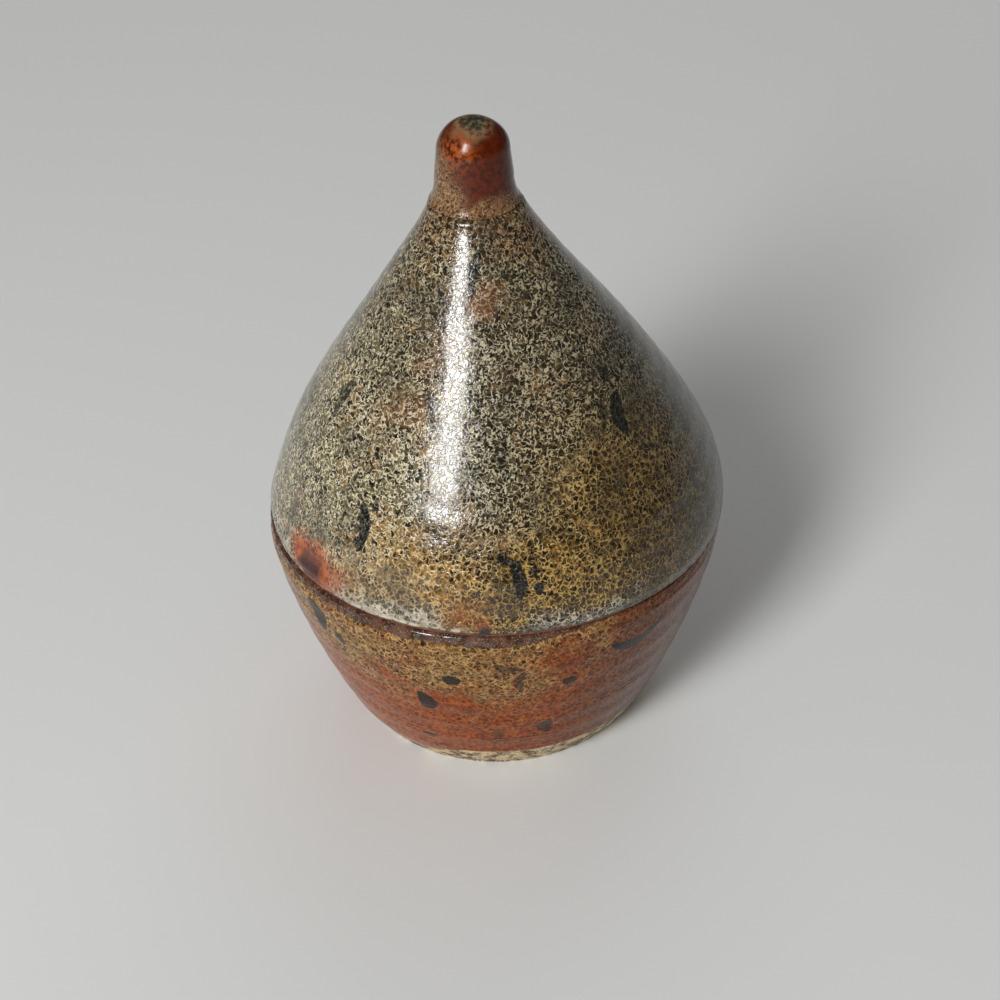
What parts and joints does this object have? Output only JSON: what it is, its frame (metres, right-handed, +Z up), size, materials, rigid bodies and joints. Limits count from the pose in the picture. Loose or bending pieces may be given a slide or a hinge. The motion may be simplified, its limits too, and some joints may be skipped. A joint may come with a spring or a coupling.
{
  "type": "lidded jar",
  "caption": "Round stoneware jar with a flat rim and a foot ring, closed by a tall hollow conical lid with a knob that lifts straight off.",
  "frame": {"origin": "centre of the foot, on the surface the jar stands on", "axes": "+Z up through the knob, -Y towards the viewer of the picture, +X to the right in the picture"},
  "size_m": [0.1613, 0.161, 0.2265],
  "materials": {
    "jar_glaze": "glossy salt glaze over brick-red clay, bare at the rim and foot",
    "lid_glaze": "glossy salt glaze with a pale orange-peel network over olive and ochre",
    "knob_glaze": "glossy salt glaze, chestnut brown"
  },
  "bodies": {
    "jar": {"jar_body": "jar_glaze"},
    "lid": {"lid_cone": "lid_glaze", "lid_knob": "knob_glaze"}
  },
  "joints": [
    {"name": "lid_lift", "type": "slide", "parent": "jar", "child": "lid", "axis": [0, 0, 1], "range_m": [0, 0.15]}
  ]
}
